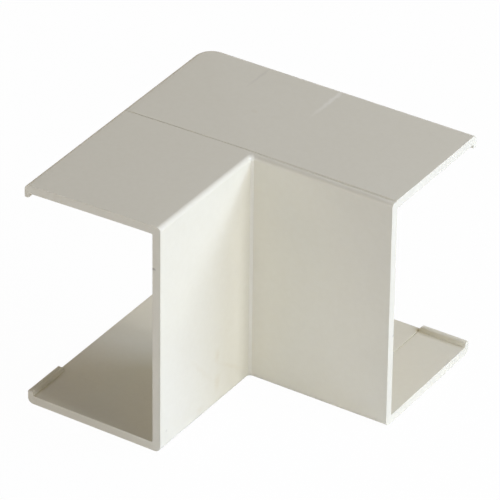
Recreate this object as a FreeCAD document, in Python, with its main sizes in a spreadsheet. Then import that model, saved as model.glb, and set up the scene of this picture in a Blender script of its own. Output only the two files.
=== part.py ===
import FreeCAD, Part
import os
import Sketcher

# Internal corner cover for rectangular mini trunking, one injection moulding.
# Two L-shaped plates, joined along their inner edges by two upright front walls, make a channel that is
# open towards the two room walls and at both arm ends. The vertical line where the room walls meet is the
# Z axis, and the cover stands on Z = 0. One arm runs along +X and the other along -Y.

# Driving sizes in millimetres: name, value and what it measures.
SIZES = (
    ("trunking_height", 40.0, "trunking measured up the wall"),
    ("trunking_depth", 25.0, "trunking measured out from the wall"),
    ("side_clearance", 0.2, "play between the trunking and each plate"),
    ("wall_thickness", 1.6, "front walls"),
    ("plate_thickness", 1.6, "top and bottom plates"),
    ("leg_length", 27.0, "front wall from the re-entrant corner to the arm's end"),
    ("room_corner_radius", 3.5, "plan radius of the plates where the room walls meet"),
    ("reentrant_radius", 0.4, "plan radius where the two front walls meet, outside"),
    ("inner_corner_radius", 1.2, "plan radius where the two front walls meet, inside"),
    ("inner_edge_radius", 0.25, "front walls into both plates, inside"),
    ("top_edge_radius", 1.5, "front walls into the top plate"),
    ("foot_edge_radius", 1.2, "front walls into the bottom plate"),
    ("back_edge_radius", 1.0, "outer edges of both plates along the room walls"),
    ("socket_length", 9.2, "stretch of each arm end that grips the trunking"),
    ("lip_height", 0.6, "snap lip above the plate's inner face"),
    ("lip_tip", 0.95, "flat crest of the snap lip, from the room wall"),
    ("lip_ramp", 0.6, "slope from the crest down to the plate"),
    ("lip_lead", 0.4, "bevel at the inner end of each lip"),
    ("core_line_width", 0.25, "witness line left where the mould's cores met"),
    ("core_line_depth", 0.12, "depth of that line"),
    ("seam_width", 0.3, "parting seam across the plates"),
    ("seam_depth", 0.12, "depth of the parting seam"),
    ("overrun", 2.0, "how far cuts run past the faces that they open"),
)

# Lengths that follow from the sizes, as expressions.
COVER_HEIGHT = "(sizes.trunking_height + 2 * (sizes.side_clearance + sizes.plate_thickness))"
COVER_DEPTH = "(sizes.trunking_depth + sizes.wall_thickness)"
ARM_LENGTH = f"({COVER_DEPTH} + sizes.leg_length)"
SOCKET_START = f"({ARM_LENGTH} - sizes.socket_length)"
CHANNEL_FLOOR = "sizes.plate_thickness"
CHANNEL_CEILING = f"({COVER_HEIGHT} - sizes.plate_thickness)"

# Each arm: name, origin plane square to it, and the sign of that plane's X away from the room wall.
ARMS = (("right_arm", "YZ_Plane", "-"), ("left_arm", "XZ_Plane", ""))

# How close a point must lie to the place where it is looked for.
NEAR = 0.001


def make_sheet(doc):
    """Write the driving sizes into a spreadsheet, one row each."""
    sheet = doc.addObject("Spreadsheet::Sheet", "sizes")
    for row, (alias, value, meaning) in enumerate(SIZES, start=1):
        sheet.set(f"A{row}", alias)
        sheet.set(f"B{row}", str(value))
        sheet.set(f"C{row}", meaning)
        sheet.setAlias(f"B{row}", alias)
    doc.recompute()


def in_millimetres(item, place):
    """Work out an expression in the sheet's sizes."""
    result = item.evalExpression(place)
    return float(getattr(result, "Value", result))


def origin_plane(body, role):
    """Find one of the body's own origin planes."""
    return next(item for item in body.Origin.OriginFeatures if item.Role == role)


def pin_to(sketch, edge, place, axis):
    """Hold an edge's start at a signed expression along the sketch's X or Y."""
    if place == "0":
        other_axis = -2 if axis == "X" else -1
        sketch.addConstraint(Sketcher.Constraint("PointOnObject", edge, 1, other_axis))
        return
    ends = (edge, 1, -1, 1) if place.startswith("-") else (-1, 1, edge, 1)
    distance = abs(in_millimetres(sketch, place))
    index = sketch.addConstraint(Sketcher.Constraint(f"Distance{axis}", *ends, distance))
    sketch.setExpression(f"Constraints[{index}]", place.lstrip("-"))


def outline(body, name, plane, corners, height="0"):
    """Draw a closed outline whose corners are pairs of signed expressions in the sheet's sizes."""
    sketch = body.newObject("Sketcher::SketchObject", name)
    sketch.AttachmentSupport = (origin_plane(body, plane), "")
    sketch.MapMode = "FlatFace"
    sketch.setExpression("AttachmentOffset.Base.z", height)
    points = [FreeCAD.Vector(in_millimetres(sketch, x), in_millimetres(sketch, y), 0) for x, y in corners]
    for start, end in zip(points, points[1:] + points[:1]):
        sketch.addGeometry(Part.LineSegment(start, end))
    for edge, (x, y) in enumerate(corners):
        following = (edge + 1) % len(corners)
        sketch.addConstraint(Sketcher.Constraint("Coincident", edge, 2, following, 1))
        pin_to(sketch, edge, x, "X")
        pin_to(sketch, edge, y, "Y")
    return sketch


def finish_feature(body, feature):
    """Make a feature the body's tip and work out its shape."""
    body.Tip = feature
    body.Document.recompute()


def pad(body, sketch, name, length):
    """Raise a sketch along its own normal."""
    feature = body.newObject("PartDesign::Pad", name)
    feature.Profile = sketch
    feature.setExpression("Length", length)
    finish_feature(body, feature)


def pocket(body, sketch, name, length, along_normal=False):
    """Cut a sketch into the body, and make sure that it took something away."""
    volume_before = body.Shape.Volume
    feature = body.newObject("PartDesign::Pocket", name)
    feature.Profile = sketch
    feature.Reversed = along_normal
    feature.setExpression("Length", length)
    finish_feature(body, feature)
    if feature.Shape.Volume >= volume_before:
        raise RuntimeError(f"{name} cuts nothing")


def edges_where(shape, test):
    """Names of the edges whose ends and middle all pass a test."""
    names = []
    for number, edge in enumerate(shape.Edges, start=1):
        middle = edge.valueAt((edge.FirstParameter + edge.LastParameter) / 2)
        points = [vertex.Point for vertex in edge.Vertexes] + [middle]
        if all(test(point) for point in points):
            names.append(f"Edge{number}")
    return names


def dress(body, kind, name, test, size):
    """Round or bevel every edge that passes a test."""
    base = body.Tip
    names = edges_where(base.Shape, test)
    if not names:
        raise RuntimeError(f"{name} finds no edge")
    feature = body.newObject(f"PartDesign::{kind}", name)
    feature.Base = (base, names)
    feature.setExpression("Radius" if kind == "Fillet" else "Size", size)
    finish_feature(body, feature)


def outer_block(body):
    """L-shaped block with the cover's outside form."""
    corners = (
        ("0", "0"),
        (ARM_LENGTH, "0"),
        (ARM_LENGTH, f"-{COVER_DEPTH}"),
        (COVER_DEPTH, f"-{COVER_DEPTH}"),
        (COVER_DEPTH, f"-{ARM_LENGTH}"),
        ("0", f"-{ARM_LENGTH}"),
    )
    pad(body, outline(body, "cover_outline", "XY_Plane", corners), "cover_block", COVER_HEIGHT)

    depth = in_millimetres(body, COVER_DEPTH)
    height = in_millimetres(body, COVER_HEIGHT)
    corner_radius = in_millimetres(body, "sizes.room_corner_radius")

    def room_corner(point):
        return abs(point.x) < NEAR and abs(point.y) < NEAR

    def reentrant_corner(point):
        return abs(point.x - depth) < NEAR and abs(point.y + depth) < NEAR

    def beside_front_wall(point):
        return point.x > depth - NEAR and point.y < -depth + NEAR

    def beside_room_wall(point):
        return min(point.x, -point.y) < max(corner_radius / 2, NEAR)

    def top_front(point):
        return abs(point.z - height) < NEAR and beside_front_wall(point)

    def foot_front(point):
        return abs(point.z) < NEAR and beside_front_wall(point)

    def top_back(point):
        return abs(point.z - height) < NEAR and beside_room_wall(point)

    def foot_back(point):
        return abs(point.z) < NEAR and beside_room_wall(point)

    dress(body, "Fillet", "room_corner", room_corner, "sizes.room_corner_radius")
    dress(body, "Fillet", "reentrant_corner", reentrant_corner, "sizes.reentrant_radius")
    dress(body, "Fillet", "top_front_edge", top_front, "sizes.top_edge_radius")
    dress(body, "Fillet", "foot_front_edge", foot_front, "sizes.foot_edge_radius")
    dress(body, "Fillet", "top_back_edge", top_back, "sizes.back_edge_radius")
    dress(body, "Fillet", "foot_back_edge", foot_back, "sizes.back_edge_radius")


def channel(body):
    """Channel for the trunking, open to both room walls and at both arm ends."""
    past_end = f"({ARM_LENGTH} + sizes.overrun)"
    corners = (
        ("-sizes.overrun", "sizes.overrun"),
        (past_end, "sizes.overrun"),
        (past_end, "-sizes.trunking_depth"),
        ("sizes.trunking_depth", "-sizes.trunking_depth"),
        ("sizes.trunking_depth", f"-{past_end}"),
        ("-sizes.overrun", f"-{past_end}"),
    )
    sketch = outline(body, "channel_outline", "XY_Plane", corners, CHANNEL_FLOOR)
    pocket(body, sketch, "channel", f"{CHANNEL_CEILING} - {CHANNEL_FLOOR}", along_normal=True)

    inner_face = in_millimetres(body, "sizes.trunking_depth")
    plate_faces = [in_millimetres(body, place) for place in (CHANNEL_FLOOR, CHANNEL_CEILING)]

    def inside_corner(point):
        return abs(point.x - inner_face) < NEAR and abs(point.y + inner_face) < NEAR

    def inside_edge(point):
        beside_wall = point.x > inner_face - NEAR and point.y < -inner_face + NEAR
        return beside_wall and min(abs(point.z - face) for face in plate_faces) < NEAR

    dress(body, "Fillet", "inside_corner", inside_corner, "sizes.inner_corner_radius")
    dress(body, "Fillet", "inside_edge", inside_edge, "sizes.inner_edge_radius")


def core_line(body, arm, plane, away):
    """Fine groove round the inside of an arm, just before its socket begins."""
    wall_side = f"{away}(sizes.trunking_depth + sizes.core_line_depth)"
    open_side = "sizes.overrun" if away else "-sizes.overrun"
    low = f"({CHANNEL_FLOOR} - sizes.core_line_depth)"
    high = f"({CHANNEL_CEILING} + sizes.core_line_depth)"
    corners = ((open_side, low), (wall_side, low), (wall_side, high), (open_side, high))
    sketch = outline(body, f"{arm}_core_line_outline", plane, corners, SOCKET_START)
    pocket(body, sketch, f"{arm}_core_line", "sizes.core_line_width")


def snap_lips(body, arm, plane, away):
    """Lips along the room wall at an arm's end, one on each plate, that snap behind the trunking."""
    crest_edge = f"{away}sizes.lip_tip"
    ramp_end = f"{away}(sizes.lip_tip + sizes.lip_ramp)"
    low_crest = f"({CHANNEL_FLOOR} + sizes.lip_height)"
    high_crest = f"({CHANNEL_CEILING} - sizes.lip_height)"
    lips = (("bottom", CHANNEL_FLOOR, low_crest), ("top", CHANNEL_CEILING, high_crest))
    for name, plate_face, crest in lips:
        corners = (("0", plate_face), ("0", crest), (crest_edge, crest), (ramp_end, plate_face))
        sketch = outline(body, f"{arm}_{name}_lip_outline", plane, corners, SOCKET_START)
        pad(body, sketch, f"{arm}_{name}_lip", "sizes.socket_length")

    start = in_millimetres(body, SOCKET_START)
    crests = [in_millimetres(body, crest) for _, _, crest in lips]

    def crest_start(point):
        along_arm = point.x if plane == "YZ_Plane" else -point.y
        return abs(along_arm - start) < NEAR and min(abs(point.z - crest) for crest in crests) < NEAR

    dress(body, "Chamfer", f"{arm}_lip_lead", crest_start, "sizes.lip_lead")


def parting_seams(body):
    """Fine V across both plates, along the line where the right front wall's roundings begin."""
    half_width = "sizes.seam_width / 2"
    past_end = f"({ARM_LENGTH} + sizes.overrun)"
    seams = (
        ("top_seam", "sizes.top_edge_radius", COVER_HEIGHT, f"({COVER_HEIGHT} - sizes.seam_depth)"),
        ("foot_seam", "sizes.foot_edge_radius", "0", "sizes.seam_depth"),
    )
    for name, edge_radius, plate_face, root in seams:
        line = f"{COVER_DEPTH} - {edge_radius}"
        corners = (
            (f"-({line} + {half_width})", plate_face),
            (f"-({line} - {half_width})", plate_face),
            (f"-({line})", root),
        )
        sketch = outline(body, f"{name}_outline", "YZ_Plane", corners, past_end)
        pocket(body, sketch, name, f"{past_end} + sizes.overrun")


def corner_cover(doc):
    """The whole cover."""
    body = doc.addObject("PartDesign::Body", "corner_cover")
    body.Label = "corner_cover"
    body.Placement = FreeCAD.Placement()
    outer_block(body)
    channel(body)
    for arm, plane, away in ARMS:
        core_line(body, arm, plane, away)
        snap_lips(body, arm, plane, away)
    parting_seams(body)
    return body


def check(doc, bodies):
    """Stop if any feature failed or any sub-part has no sound solid."""
    for item in doc.Objects:
        if {"Invalid", "Error"} & set(item.State):
            raise RuntimeError(f"{item.Name} failed")
    for body in bodies:
        if body.Shape.isNull() or not body.Shape.isValid() or len(body.Shape.Solids) != 1:
            raise RuntimeError(f"{body.Label} is not one sound solid")


def main():
    doc = FreeCAD.newDocument("trunking_internal_corner")
    make_sheet(doc)
    bodies = [corner_cover(doc)]
    doc.recompute()
    check(doc, bodies)
    os.makedirs("parts", exist_ok=True)
    for body in bodies:
        box = body.Shape.optimalBoundingBox()
        print(body.Label, f"{body.Shape.Volume:.1f} mm3", f"{box.XLength:.2f} {box.YLength:.2f} {box.ZLength:.2f}")
        body.Shape.exportStep(f"parts/{body.Label}.step")


main()
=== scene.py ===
import math

import bmesh
import bpy
from bpy.props import FloatProperty, PointerProperty, StringProperty
from mathutils import Matrix, Vector


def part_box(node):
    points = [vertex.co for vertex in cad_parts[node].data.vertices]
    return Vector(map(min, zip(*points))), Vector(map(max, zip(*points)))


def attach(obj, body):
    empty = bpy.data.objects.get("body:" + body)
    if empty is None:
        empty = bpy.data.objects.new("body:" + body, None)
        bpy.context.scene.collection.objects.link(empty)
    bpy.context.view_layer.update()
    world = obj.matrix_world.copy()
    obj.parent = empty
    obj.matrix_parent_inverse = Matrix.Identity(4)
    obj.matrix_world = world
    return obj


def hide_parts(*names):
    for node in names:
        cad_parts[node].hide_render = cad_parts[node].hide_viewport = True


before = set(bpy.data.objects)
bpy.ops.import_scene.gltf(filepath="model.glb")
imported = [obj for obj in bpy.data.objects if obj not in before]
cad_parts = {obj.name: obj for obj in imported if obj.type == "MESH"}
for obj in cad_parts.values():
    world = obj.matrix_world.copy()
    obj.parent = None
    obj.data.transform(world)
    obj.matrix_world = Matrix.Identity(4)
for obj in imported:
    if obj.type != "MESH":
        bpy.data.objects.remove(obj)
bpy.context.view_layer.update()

bl_info = {
    "name": "Trunking internal corner",
    "version": (1, 0, 0),
    "blender": (4, 5, 0),
    "location": "3D View > Sidebar > Corner cover",
    "description": "Moulded cover for an internal corner in mini trunking, with its stage, lights and camera",
    "category": "Add Mesh",
}

MM = 0.001
NODE = "corner_cover"
LOW, HIGH = (Vector(corner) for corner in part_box(NODE))
PLASTIC = "PVC injection moulded satin"
STAGE_PAPER = "Paper matt white"
WELD = 0.0001 * MM
SOFTBOX_DISTANCE = 0.9

# Softboxes round the object: name, colour, watts, azimuth, elevation, and width and height in metres.
SOFTBOXES = (
    ("side", "EDF1FF", 5.75, 90, 20, 0.22, 0.75),
    ("behind_right", "C4D5FF", 4.2, 117, 28, 0.35, 0.28),
    ("high_right", "F6FFF0", 1.05, 140, 40, 0.35, 0.2),
    ("front", "E6EAFF", 2.5, 15, 6, 0.5, 0.2),
    ("front_left", "FFF3E6", 0.74, 335, 18, 0.3, 0.2),
    ("left", "FFEABF", 0.76, 292, 5, 0.6, 0.16),
    ("behind", "FFDC90", 0.84, 218, 9, 0.45, 0.25),
    ("high_behind", "FFCE80", 0.72, 187, 58, 0.35, 0.2),
)

# Faint marks on the plastic, some of them painted light: tint, share of it, place and reach in millimetres,
# and lean about the X axis.
MARKS = (
    # Painted highlight: a pale streak where a sink mark in the top catches the light.
    ("painted_sink_highlight", 0.8, (27.75, -3.5, 43.6), (0.55, 8.0, 1.4), 0),
    # Painted shade: a dark streak along a sink mark in the top.
    ("painted_sink_shade", 0.4, (13.5, -3.4, 43.6), (0.4, 5.5, 1.4), 0),
    # An ochre speck on the top, and ochre spots and streaks on the left wall.
    ("ochre_marks_and_reflection", 0.3, (19.0, -14.3, 43.6), (0.9, 0.6, 1.4), 0),
    ("ochre_marks_and_reflection", 0.4, (26.6, -36.6, 9.9), (1.0, 0.9, 1.7), 0),
    ("ochre_marks_and_reflection", 0.45, (26.6, -36.6, 4.6), (1.0, 1.2, 1.9), 0),
    ("ochre_marks_and_reflection", 0.35, (26.6, -41.8, 2.0), (1.0, 1.6, 0.9), 0),
    ("ochre_marks_and_reflection", 0.2, (26.6, -41.5, 9.6), (1.0, 0.6, 6.0), 40),
    # Painted reflection: this ochre streak is the right arm's foot edge mirrored in the left wall.
    ("ochre_marks_and_reflection", 0.25, (26.6, -32.4, 5.6), (1.0, 0.5, 6.0), 56),
    ("grime", 0.8, (25.2, -53.6, 35.5), (0.5, 0.5, 0.35), 0),
    ("grime", 0.8, (53.6, -25.0, 17.5), (0.4, 0.5, 0.35), 0),
    ("grime", 0.25, (26.6, -51.8, 3.5), (0.4, 0.3, 0.3), 0),
)


def length(name, description, default):
    """A size that a user may change, given in metres."""
    return FloatProperty(name=name, description=description, default=default, unit="LENGTH", precision=5)


def angle(name, description, degrees):
    """An angle that a user may change."""
    return FloatProperty(name=name, description=description, default=math.radians(degrees), unit="ROTATION")


def colour(name, description, default):
    """A colour that a user may change, as sRGB hex digits."""
    return StringProperty(name=name, description=description, default=default)


class CoverShape(bpy.types.PropertyGroup):
    """Sizes of the moulding."""

    height: length("Height", "Foot to top", HIGH.z - LOW.z)
    arm: length("Arm", "Room corner to the end of either arm", HIGH.x - LOW.x)
    depth: length("Depth", "Room wall to the front walls' outer face", 26.6 * MM)
    wall: length("Wall", "Thickness of the front walls and plates", 1.6 * MM)
    top_edge: length("Top edge", "Radius from the front walls into the top", 0.85 * MM)
    foot_edge: length("Foot edge", "Radius from the front walls into the foot", 1.2 * MM)
    back_edge: length("Back edge", "Radius of the plates' outer edges along the room walls", 1.0 * MM)
    room_corner: length("Room corner", "Plan radius where the room walls meet", 3.5 * MM)
    reentrant: length("Re-entrant corner", "Plan radius between the front walls, outside", 0.4 * MM)
    inner_corner: length("Inner corner", "Plan radius between the front walls, inside", 1.2 * MM)
    inner_fillet: length("Inner fillet", "Radius from the plates into the front walls, inside", 0.25 * MM)
    edge: length("Broken edge", "Radius that the mould leaves on the plates' inner back edges", 0.2 * MM)
    end_edge: length("End edge", "Radius round the arms' ends", 0.07 * MM)
    socket: length("Socket", "Stretch of each arm end that grips the trunking", 9.2 * MM)
    lip_height: length("Lip height", "Snap lip above the plate", 0.85 * MM)
    lip_tip: length("Lip tip", "Flat crest of the lip", 0.55 * MM)
    lip_ramp: length("Lip ramp", "Slope from the crest down to the plate", 0.55 * MM)
    lip_lead: length("Lip lead", "Bevel at the inner end of the lip", 0.4 * MM)
    core_width: length("Core line width", "Line left where the mould's cores met", 0.25 * MM)
    core_right: length("Right core line", "How deep that line is in the right arm", 0.15 * MM)
    core_left: length("Left core line", "How deep that line is in the left arm", 0.01 * MM)
    seam_place: length("Seam place", "Parting seam behind the right arm's front", 1.25 * MM)
    seam_width: length("Seam width", "Parting seam across the plates", 0.26 * MM)
    seam_depth: length("Seam depth", "How deep the seam is", 0.1 * MM)
    seam_step: length("Seam step", "How far the top stands above the edge in front of it at the arm's end",
                      0.12 * MM)
    top_left: length("Top lean, left end", "How far the top leans in at the left arm's end", 0.66 * MM)
    top_corner: length("Top lean, corner", "How far the top leans in at the room corner", 0.19 * MM)
    top_right: length("Top lean, right end", "How far the top leans in at the right arm's end", 0.0)
    foot_left: length("Foot lean, left end", "How far the foot leans in at the left arm's end", 0.18 * MM)
    foot_corner: length("Foot lean, corner", "How far the foot leans in at the room corner", 0.19 * MM)
    foot_right: length("Foot lean, right end", "How far the foot leans in at the right arm's end", 0.34 * MM)


class CoverFinish(bpy.types.PropertyGroup):
    """Colours and surface of the moulding."""

    plastic: colour("Plastic", "Off-white of the moulding", "E3DEC9")
    cloud: colour("Cloud", "Slightly denser pigment", "DED8C1")
    # Painted highlight along a sink mark in the top.
    painted_sink_highlight: colour("Pale flow mark", "Where the plastic flowed last", "F4F0E1")
    # Painted shade along a sink mark in the top.
    painted_sink_shade: colour("Dark flow mark", "Streak of denser pigment", "CBC5B4")
    # Ochre for spots and streaks. One streak paints the reflection of the right arm's foot edge in the left
    # wall.
    ochre_marks_and_reflection: colour("Yellowed", "Smears and rubbed places", "D9CDAE")
    grime: colour("Grime", "Specks caught on edges", "8C8574")
    roughness: FloatProperty(name="Roughness", description="Satin of the moulded surface", default=0.2)


class Studio(bpy.types.PropertyGroup):
    """Floor, lights and camera."""

    paper: colour("Paper", "White paper under the object", "F4F4F2")
    fill: FloatProperty(name="Fill", description="Strength of the light from all round", default=0.05)
    power: FloatProperty(name="Power", description="Share of the softboxes' full power", default=1.0)
    azimuth: angle("Azimuth", "Camera's turn round the object from straight in front", 32.529)
    elevation: angle("Elevation", "Camera's height over the object", 32.224)
    roll: angle("Roll", "Camera's turn about its own axis", 0.690)
    distance: length("Distance", "Camera to the middle of the view", 822.3 * MM)
    aside: length("Aside", "Middle of the view, right of the object's middle", 1.232 * MM)
    above: length("Above", "Middle of the view, above the object's middle", -0.515 * MM)
    lens: FloatProperty(name="Lens", description="Focal length in millimetres", default=354.0)


def linear(digits):
    """Turn sRGB hex digits into the linear colour that materials and lights take."""
    values = [int(digits[start:start + 2], 16) / 255 for start in (0, 2, 4)]
    return [v / 12.92 if v <= 0.04045 else ((v + 0.055) / 1.055) ** 2.4 for v in values] + [1.0]


def add_node(tree, kind, settings=None, values=None, links=None):
    """Add a node with its settings, its inputs' values and the sockets linked into it."""
    node = tree.nodes.new(kind)
    for name, value in (settings or {}).items():
        setattr(node, name, value)
    for name, value in (values or {}).items():
        node.inputs[name].default_value = value
    for name, socket in (links or {}).items():
        tree.links.new(socket, node.inputs[name])
    return node


def new_material(name):
    """An empty node material."""
    material = bpy.data.materials.new(name)
    material.use_nodes = True
    material.node_tree.nodes.clear()
    return material


def direction(azimuth, elevation):
    """Unit vector from the object towards a place at these angles, in radians."""
    level = math.cos(elevation)
    return Vector((math.sin(azimuth) * level, -math.cos(azimuth) * level, math.sin(elevation)))


def arc(offset, height, radius, first, last, steps):
    """Points of an arc in the section, between two angles in degrees."""
    points = []
    for step in range(steps + 1):
        turn = math.radians(first + (last - first) * step / steps)
        points.append(Vector((offset + radius * math.cos(turn), height + radius * math.sin(turn))))
    return points


def joined(runs, rows):
    """Join runs of points, with evenly spaced rows between each run and the next."""
    points = list(runs[0])
    for run, count in zip(runs[1:], rows):
        start = points[-1]
        points += [start.lerp(run[0], row / (count + 1)) for row in range(1, count + 1)]
        points += run
    return points


def section_outside(shape):
    """Outside of an arm's section, from the top's back edge round the front to the foot's back edge."""
    depth, height = shape.depth, shape.height
    top, foot, back = shape.top_edge, shape.foot_edge, shape.back_edge
    runs = [
        arc(depth - back, height - back, back, 0, 90, 6),
        arc(top, height - top, top, 90, 180, 9),
        arc(foot, foot, foot, 180, 270, 8),
        arc(depth - back, back, back, 270, 360, 6),
    ]
    plate_rows, front_rows = 13, 9
    return joined(runs, (plate_rows, front_rows, plate_rows))


def section_foot_inside(shape, lip, groove):
    """Inside of the bottom plate and half the front wall, from the room wall forwards.

    lip is the share of the snap lip's height, and groove is how deep the faces are cut back.
    """
    plate, edge = shape.wall, shape.edge
    rise = shape.lip_height * lip
    crest_radius = 0.5 * shape.lip_height
    crest_end = shape.depth - shape.lip_tip
    back_edge = arc(shape.depth - edge, plate + rise - edge, edge, 0, 90, 2)
    crest_edge = arc(crest_end, plate + shape.lip_height - crest_radius, crest_radius, 90, 165, 5)
    ramp_end = Vector((crest_end - shape.lip_ramp, plate))
    crest_edge = [Vector((p.x, plate + (p.y - plate) * lip)) for p in crest_edge]
    corner = arc(plate + shape.inner_fillet, plate + shape.inner_fillet, shape.inner_fillet, 270, 180, 3)
    middle = Vector((plate, shape.height / 2))
    plate_rows, front_rows = 12, 4
    points = joined([back_edge, crest_edge, [ramp_end], corner, [middle]], (0, 0, plate_rows, front_rows))
    front = plate + shape.inner_fillet
    return [Vector((p.x - groove if p.x < front else p.x, p.y - groove)) for p in points[:-1]] + \
        [Vector((plate - groove, shape.height / 2))]


def section(shape, lip=0.0, groove=0.0):
    """Closed outline across an arm: distance behind the front face, and height."""
    foot = section_foot_inside(shape, lip, groove)
    top = [Vector((p.x, shape.height - p.y)) for p in reversed(foot[:-1])]
    return section_outside(shape) + foot + top


def shrunk(outline, distance):
    """Move a closed outline inwards, square to its sides."""
    moved = []
    for index, point in enumerate(outline):
        before = (point - outline[index - 1]).normalized()
        after = (outline[(index + 1) % len(outline)] - point).normalized()
        normals = Vector((-before.y, before.x)), Vector((-after.y, after.x))
        moved.append(point + (normals[0] + normals[1]) * distance / (1 + normals[0].dot(normals[1])))
    return moved


def between_pairs(value, pairs):
    """Read a value off a line through pairs of points."""
    for (low, at_low), (high, at_high) in zip(pairs, pairs[1:]):
        if value <= high:
            return at_low + (at_high - at_low) * max(value - low, 0) / (high - low)
    return pairs[-1][1]


def turn_radii(shape):
    """Plan radius that each point of the section follows round the corner between the arms."""
    outside = len(section_outside(shape))
    radii = []
    for index, point in enumerate(section(shape)):
        edge = shape.top_edge if point.y > shape.height / 2 else shape.foot_edge
        pairs = [
            (0, shape.reentrant),
            (edge, shape.reentrant + edge),
            (shape.depth - shape.back_edge, shape.room_corner - shape.back_edge),
            (shape.depth, shape.room_corner),
        ]
        if index >= outside:
            pairs = [(shape.wall, shape.inner_corner), (shape.depth, shape.room_corner)]
        radii.append(between_pairs(point.x, pairs))
    return radii


def end_rings(shape, core_depth):
    """Sections of an arm's end as pairs of distance from the end and outline."""
    gripping = section(shape, lip=1.0)
    rings = []
    steps = 4
    for step in range(steps):
        turn = math.pi / 2 * step / steps
        inset = shape.end_edge * (1 - math.sin(turn))
        rings.append((shape.end_edge * (1 - math.cos(turn)), shrunk(gripping, inset)))
    rows = 5
    last = shape.socket - shape.lip_lead
    for row in range(rows + 1):
        rings.append((shape.end_edge + (last - shape.end_edge) * row / rows, gripping))
    plain = section(shape)
    cut = section(shape, groove=core_depth)
    rings.append((shape.socket, section(shape, lip=1 - shape.lip_lead / shape.lip_height)))
    rings.append((shape.socket, cut))
    rings.append((shape.socket + shape.core_width, cut))
    rings.append((shape.socket + shape.core_width, plain))
    return rings


def arm_rings(shape, core_depth):
    """Rings of the arm along -Y, from its end to the start of the turn."""
    radii = turn_radii(shape)
    rings = []
    for along, outline in end_rings(shape, core_depth):
        rings.append([Vector((shape.depth - p.x, along - shape.arm, p.y)) for p in outline])
    plain = section(shape)
    start = shape.socket + shape.core_width - shape.arm
    rows = 16
    for row in range(1, rows):
        ring = []
        for p, radius in zip(plain, radii):
            turn_start = p.x - shape.depth - radius
            ring.append(Vector((shape.depth - p.x, start + (turn_start - start) * row / rows, p.y)))
        rings.append(ring)
    return rings


def turn_rings(shape):
    """Rings round the corner, from the left arm to the right one.

    The front turns over a narrow flat that fades out into the rounded edges. All the rest follows an arc.
    """
    steps = 10
    outside = len(section_outside(shape))
    rings = []
    for step in range(steps + 1):
        turn = math.pi / 2 * step / steps
        ring = []
        for index, (p, radius) in enumerate(zip(section(shape), turn_radii(shape))):
            across, along = 1 - math.cos(turn), math.sin(turn)
            if index < outside and p.x < shape.reentrant:
                flat = 1 - p.x / shape.reentrant
                across += (step / steps - across) * flat
                along += (step / steps - along) * flat
            front = shape.depth - p.x
            ring.append(Vector((front + radius * across, radius * (along - 1) - front, p.y)))
        rings.append(ring)
    return rings


def lay_skin(mesh, shape):
    """Bridge all the rings into one skin and close it at both ends."""
    left = arm_rings(shape, shape.core_left)
    mirrored = reversed(arm_rings(shape, shape.core_right))
    right = [[Vector((-p.y, -p.x, p.z)) for p in ring] for ring in mirrored]
    rings = [[mesh.verts.new(p) for p in ring] for ring in left + turn_rings(shape) + right]
    count = len(rings[0])
    for here, there in zip(rings, rings[1:]):
        for index in range(count):
            following = (index + 1) % count
            mesh.faces.new((here[index], here[following], there[following], there[index]))
    mesh.faces.new(reversed(rings[0]))
    mesh.faces.new(rings[-1])
    bmesh.ops.remove_doubles(mesh, verts=mesh.verts, dist=WELD)
    bmesh.ops.recalc_face_normals(mesh, faces=mesh.faces)


def cut_seam(mesh, shape, edge_radius, at_top):
    """Cut a fine V across a plate, just behind the right arm's rounded edge.

    At the top, what lies in front of the V also steps down towards the arm's end.
    """
    line = shape.seam_place - shape.depth
    face = shape.height if at_top else 0.0
    inward = -1 if at_top else 1
    near = 0.12 * MM
    on_cut = 0.001 * MM
    on_line = 0.002 * MM
    for place in (line - shape.seam_width / 2, line + shape.seam_width / 2, line):
        faces = [f for f in mesh.faces if all(abs(v.co.z - face) < near for v in f.verts)]
        parts = {item for f in faces for item in (f, *f.edges, *f.verts)}
        bmesh.ops.bisect_plane(mesh, geom=list(parts), dist=on_cut, plane_co=(0, place, 0),
                               plane_no=(0, 1, 0))
    for vertex in mesh.verts:
        if abs(vertex.co.y - line) < on_line and abs(vertex.co.z - face) < near:
            vertex.co.z = face + inward * shape.seam_depth
        if at_top and vertex.co.y < line + on_line and vertex.co.x > shape.depth:
            share = (vertex.co.x - shape.depth) / (shape.arm - shape.depth)
            high = max(1 - (face - vertex.co.z) / edge_radius, 0)
            vertex.co.z -= shape.seam_step * share * high


def lean_plates(mesh, shape):
    """Lean the plates in towards each other at the back, as such a moulding does when it cools."""
    softness = 0.06
    for vertex in mesh.verts:
        x, y, z = vertex.co
        behind = max(shape.depth - shape.wall - x, shape.depth - shape.wall + y)
        share = max(min(behind / (shape.depth - shape.wall), 1), 0)
        bend = (1 + softness) * share * share / (share + softness)
        right, left = x / shape.arm, -y / shape.arm
        if z > shape.height / 2:
            lean = shape.top_corner + (shape.top_left - shape.top_corner) * left \
                + (shape.top_right - shape.top_corner) * right
            vertex.co.z -= bend * max(lean, 0)
        else:
            lean = shape.foot_corner + (shape.foot_left - shape.foot_corner) * left \
                + (shape.foot_right - shape.foot_corner) * right
            vertex.co.z += bend * max(lean, 0)


def build_cover(shape, material):
    """The whole moulding as one object."""
    mesh = bmesh.new()
    lay_skin(mesh, shape)
    cut_seam(mesh, shape, shape.top_edge, at_top=True)
    cut_seam(mesh, shape, shape.foot_edge, at_top=False)
    lean_plates(mesh, shape)
    data = bpy.data.meshes.new("cover_skin")
    mesh.to_mesh(data)
    mesh.free()
    data.materials.append(material)
    data.shade_smooth()
    crease = math.radians(36)
    data.set_sharp_from_angle(angle=crease)
    piece = bpy.data.objects.new("cover_moulding", data)
    bpy.context.scene.collection.objects.link(piece)
    evenness = piece.modifiers.new("flat faces stay flat", "WEIGHTED_NORMAL")
    evenness.keep_sharp = True
    return piece


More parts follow.
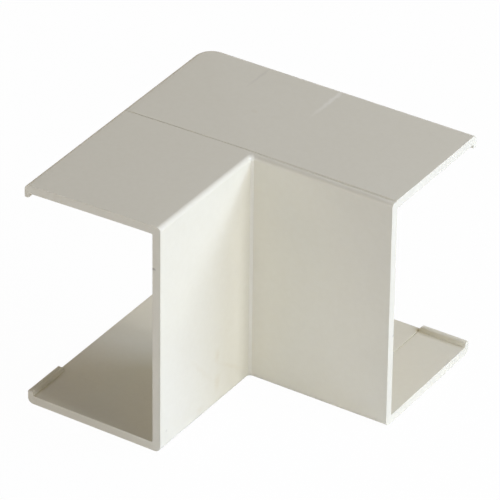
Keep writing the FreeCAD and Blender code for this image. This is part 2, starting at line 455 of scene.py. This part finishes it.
def patch(tree, place, centre, reach, lean):
    """Soft oval mask about a place, in millimetres, leaning about the X axis in degrees."""
    mapping = add_node(tree, "ShaderNodeMapping", {"vector_type": "TEXTURE"},
                       {"Location": Vector(centre) * MM, "Scale": Vector(reach) * MM,
                        "Rotation": (math.radians(lean), 0, 0)}, {"Vector": place})
    ball = add_node(tree, "ShaderNodeTexGradient", {"gradient_type": "SPHERICAL"},
                    links={"Vector": mapping.outputs["Vector"]})
    return ball.outputs["Fac"]


def moulded_pvc(finish):
    """Rigid PVC, injection moulded in a polished tool.

    It gives the eye an even off-white with a satin sheen that mirrors a nearby wall softly, a faint
    mottle in the pigment, ochre spots and streaks, grime specks, and painted light: a painted highlight and a
    painted shade along sink marks in the top, and a painted reflection of the right arm's foot edge in the
    left wall.
    """
    material = new_material(PLASTIC)
    tree = material.node_tree
    place = add_node(tree, "ShaderNodeTexCoord").outputs["Object"]

    # Pigment: clouds about 12 mm across and a mottle about 0.9 mm across, both barely darker than the rest.
    clouds = add_node(tree, "ShaderNodeTexNoise", values={"Scale": 1 / (12 * MM), "Detail": 3.0},
                      links={"Vector": place})
    mottle = add_node(tree, "ShaderNodeTexNoise", values={"Scale": 1 / (0.9 * MM), "Detail": 1.0},
                      links={"Vector": place})
    cloud_share = add_node(tree, "ShaderNodeMapRange",
                           values={"From Min": 0.35, "From Max": 0.7, "To Max": 0.15},
                           links={"Value": clouds.outputs["Fac"]})
    mottle_share = add_node(tree, "ShaderNodeMapRange",
                            values={"From Min": 0.3, "From Max": 0.7, "To Max": 0.25},
                            links={"Value": mottle.outputs["Fac"]})
    pigment = add_node(tree, "ShaderNodeMath", {"operation": "ADD"},
                       links={0: cloud_share.outputs["Result"], 1: mottle_share.outputs["Result"]})
    base = add_node(tree, "ShaderNodeMix", {"data_type": "RGBA"},
                    {"A": linear(finish.plastic), "B": linear(finish.cloud)},
                    {"Factor": pigment.outputs["Value"]})

    # Marks wander about 0.4 mm off their ovals, so that none has a drawn edge.
    wander = add_node(tree, "ShaderNodeTexNoise", values={"Scale": 1 / (1.5 * MM), "Detail": 2.0},
                      links={"Vector": place})
    offset = add_node(tree, "ShaderNodeVectorMath", {"operation": "MULTIPLY_ADD"},
                      {1: (0.8 * MM,) * 3, 2: (-0.4 * MM,) * 3}, {0: wander.outputs["Color"]})
    wandering = add_node(tree, "ShaderNodeVectorMath", {"operation": "ADD"},
                         links={0: place, 1: offset.outputs["Vector"]})
    hue = base.outputs["Result"]
    # Each mark mixes its tint into the colour. The sink-mark highlight, the sink-mark shade and the mirrored
    # foot edge are painted light.
    for tint, share, centre, reach, lean in MARKS:
        mask = add_node(tree, "ShaderNodeMath", {"operation": "MULTIPLY"}, {1: share},
                        {0: patch(tree, wandering.outputs["Vector"], centre, reach, lean)})
        marked_hue = add_node(tree, "ShaderNodeMix", {"data_type": "RGBA"}, {"B": linear(getattr(finish, tint))},
                           {"Factor": mask.outputs["Value"], "A": hue})
        hue = marked_hue.outputs["Result"]

    # Gentle waves about 9 mm across, as on a cooled flat face, and tool marks about 0.5 mm across.
    grain = add_node(tree, "ShaderNodeTexNoise", values={"Scale": 1 / (0.5 * MM), "Detail": 2.0},
                     links={"Vector": place})
    waves = add_node(tree, "ShaderNodeTexNoise", values={"Scale": 1 / (9 * MM), "Detail": 1.0},
                     links={"Vector": place})
    fine = add_node(tree, "ShaderNodeBump", values={"Strength": 0.1, "Distance": 0.01 * MM},
                    links={"Height": grain.outputs["Fac"]})
    surface = add_node(tree, "ShaderNodeBump", values={"Strength": 0.2, "Distance": 0.04 * MM},
                       links={"Height": waves.outputs["Fac"], "Normal": fine.outputs["Normal"]})
    sheen = add_node(tree, "ShaderNodeMapRange",
                     values={"To Min": finish.roughness - 0.02, "To Max": finish.roughness + 0.03},
                     links={"Value": clouds.outputs["Fac"]})

    shader = add_node(tree, "ShaderNodeBsdfPrincipled", values={"IOR": 1.54},
                      links={"Base Color": hue, "Roughness": sheen.outputs["Result"],
                             "Normal": surface.outputs["Normal"]})
    add_node(tree, "ShaderNodeOutputMaterial", links={"Surface": shader.outputs["BSDF"]})
    return material


def plain_view(tree, direct, mirrored):
    """Share of plain white for what looks at the background: the camera, and mirrors or glass."""
    path = add_node(tree, "ShaderNodeLightPath")
    through = add_node(tree, "ShaderNodeMath", {"operation": "MAXIMUM"},
                       links={0: path.outputs["Is Glossy Ray"], 1: path.outputs["Is Transmission Ray"]})
    in_mirrors = add_node(tree, "ShaderNodeMath", {"operation": "MULTIPLY"}, {1: mirrored},
                          {0: through.outputs["Value"]})
    in_camera = add_node(tree, "ShaderNodeMath", {"operation": "MULTIPLY"}, {1: direct},
                         {0: path.outputs["Is Camera Ray"]})
    both = add_node(tree, "ShaderNodeMath", {"operation": "MAXIMUM"},
                    links={0: in_mirrors.outputs["Value"], 1: in_camera.outputs["Value"]})
    return both.outputs["Value"]


def white_paper(studio):
    """Matt white paper, which looks plain white with a trace of the object's shadow."""
    material = new_material(STAGE_PAPER)
    tree = material.node_tree
    paper = add_node(tree, "ShaderNodeBsdfDiffuse", values={"Color": linear(studio.paper)})
    glow = add_node(tree, "ShaderNodeEmission", values={"Strength": 1.0})
    mix = add_node(tree, "ShaderNodeMixShader",
                   links={0: plain_view(tree, direct=0.98, mirrored=0.1), 1: paper.outputs["BSDF"],
                          2: glow.outputs["Emission"]})
    add_node(tree, "ShaderNodeOutputMaterial", links={"Surface": mix.outputs["Shader"]})
    return material


def light_world(studio):
    """Faint even light from all round, and plain white behind the object."""
    world = bpy.data.worlds.new("studio_surroundings")
    world.use_nodes = True
    tree = world.node_tree
    tree.nodes.clear()
    colourless = linear("FFFFFF")
    fill = add_node(tree, "ShaderNodeBackground", values={"Color": colourless, "Strength": studio.fill})
    white = add_node(tree, "ShaderNodeBackground", values={"Color": colourless, "Strength": 1.0})
    mix = add_node(tree, "ShaderNodeMixShader",
                   links={0: plain_view(tree, direct=1.0, mirrored=1.0), 1: fill.outputs["Background"],
                          2: white.outputs["Background"]})
    add_node(tree, "ShaderNodeOutputWorld", links={"Surface": mix.outputs["Shader"]})
    bpy.context.scene.world = world


def add_softbox(name, hue, watts, target, azimuth, elevation, width, tall):
    """Soft rectangular light that faces the object, unseen by the camera itself."""
    lamp = bpy.data.lights.new(name, "AREA")
    lamp.shape = "RECTANGLE"
    lamp.size = width
    lamp.size_y = tall
    lamp.energy = watts
    lamp.color = linear(hue)[:3]
    piece = bpy.data.objects.new(name, lamp)
    away = direction(math.radians(azimuth), math.radians(elevation))
    piece.location = target + away * SOFTBOX_DISTANCE
    piece.rotation_euler = away.to_track_quat("Z", "Y").to_euler()
    piece.visible_camera = False
    # Lamps behind the object light its inside, and leave no glare on the plates or their back edges.
    furthest_back = 0.1
    piece.visible_glossy = away.y < furthest_back
    bpy.context.scene.collection.objects.link(piece)


def add_camera(studio, middle):
    """Camera at the photograph's viewing angle."""
    data = bpy.data.cameras.new("camera")
    data.sensor_width = 36.0
    data.lens = studio.lens
    back = direction(studio.azimuth, studio.elevation)
    level = Vector((math.cos(studio.azimuth), math.sin(studio.azimuth), 0))
    upright = back.cross(level)
    right = level * math.cos(studio.roll) + upright * math.sin(studio.roll)
    up = upright * math.cos(studio.roll) - level * math.sin(studio.roll)
    camera = bpy.data.objects.new("camera", data)
    facing = Matrix((right, up, back)).transposed()
    place = middle + right * studio.aside + up * studio.above + back * studio.distance
    camera.matrix_world = Matrix.Translation(place) @ facing.to_4x4()
    bpy.context.scene.collection.objects.link(camera)
    bpy.context.scene.camera = camera


class COVER_OT_mould_cover(bpy.types.Operator):
    """Mould the corner cover in satin PVC"""

    bl_idname = "cover.mould_cover"
    bl_label = "Mould the cover"

    def execute(self, context):
        scene = context.scene
        piece = build_cover(scene.cover_shape, moulded_pvc(scene.cover_finish))
        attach(piece, "root")
        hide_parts(NODE)
        return {"FINISHED"}


class COVER_OT_set_stage(bpy.types.Operator):
    """Lay the floor, light the object and place the camera"""

    bl_idname = "cover.set_stage"
    bl_label = "Set the stage"

    def execute(self, context):
        scene = context.scene
        studio = scene.cover_studio
        scene.view_settings.view_transform = "Standard"
        half = 3.0
        data = bpy.data.meshes.new("floor")
        data.from_pydata([(-half, -half, 0), (half, -half, 0), (half, half, 0), (-half, half, 0)], [],
                         [(0, 1, 2, 3)])
        data.materials.append(white_paper(studio))
        floor = bpy.data.objects.new("floor", data)
        scene.collection.objects.link(floor)
        light_world(studio)
        middle = Vector((22, -22, 22)) * MM
        for name, hue, watts, azimuth, elevation, width, tall in SOFTBOXES:
            add_softbox(name, hue, watts * studio.power, middle, azimuth, elevation, width, tall)
        add_camera(studio, middle)
        return {"FINISHED"}


class COVER_PT_panel(bpy.types.Panel):
    """Corner cover in the sidebar"""

    bl_idname = "COVER_PT_panel"
    bl_label = "Corner cover"
    bl_space_type = "VIEW_3D"
    bl_region_type = "UI"
    bl_category = "Corner cover"

    def draw(self, context):
        layout = self.layout
        scene = context.scene
        boxes = (
            ((scene.cover_shape, scene.cover_finish), "cover.mould_cover"),
            ((scene.cover_studio,), "cover.set_stage"),
        )
        for groups, operator in boxes:
            box = layout.box()
            for group in groups:
                for name in group.bl_rna.properties.keys():
                    if name not in ("rna_type", "name"):
                        box.prop(group, name)
            box.operator(operator)


CLASSES = (CoverShape, CoverFinish, Studio, COVER_OT_mould_cover, COVER_OT_set_stage, COVER_PT_panel)


def register():
    for item in CLASSES:
        bpy.utils.register_class(item)
    bpy.types.Scene.cover_shape = PointerProperty(type=CoverShape)
    bpy.types.Scene.cover_finish = PointerProperty(type=CoverFinish)
    bpy.types.Scene.cover_studio = PointerProperty(type=Studio)


def unregister():
    del bpy.types.Scene.cover_studio
    del bpy.types.Scene.cover_finish
    del bpy.types.Scene.cover_shape
    for item in reversed(CLASSES):
        bpy.utils.unregister_class(item)


def main():
    register()
    bpy.ops.cover.mould_cover()
    bpy.ops.cover.set_stage()


if __name__ == "__main__":
    main()
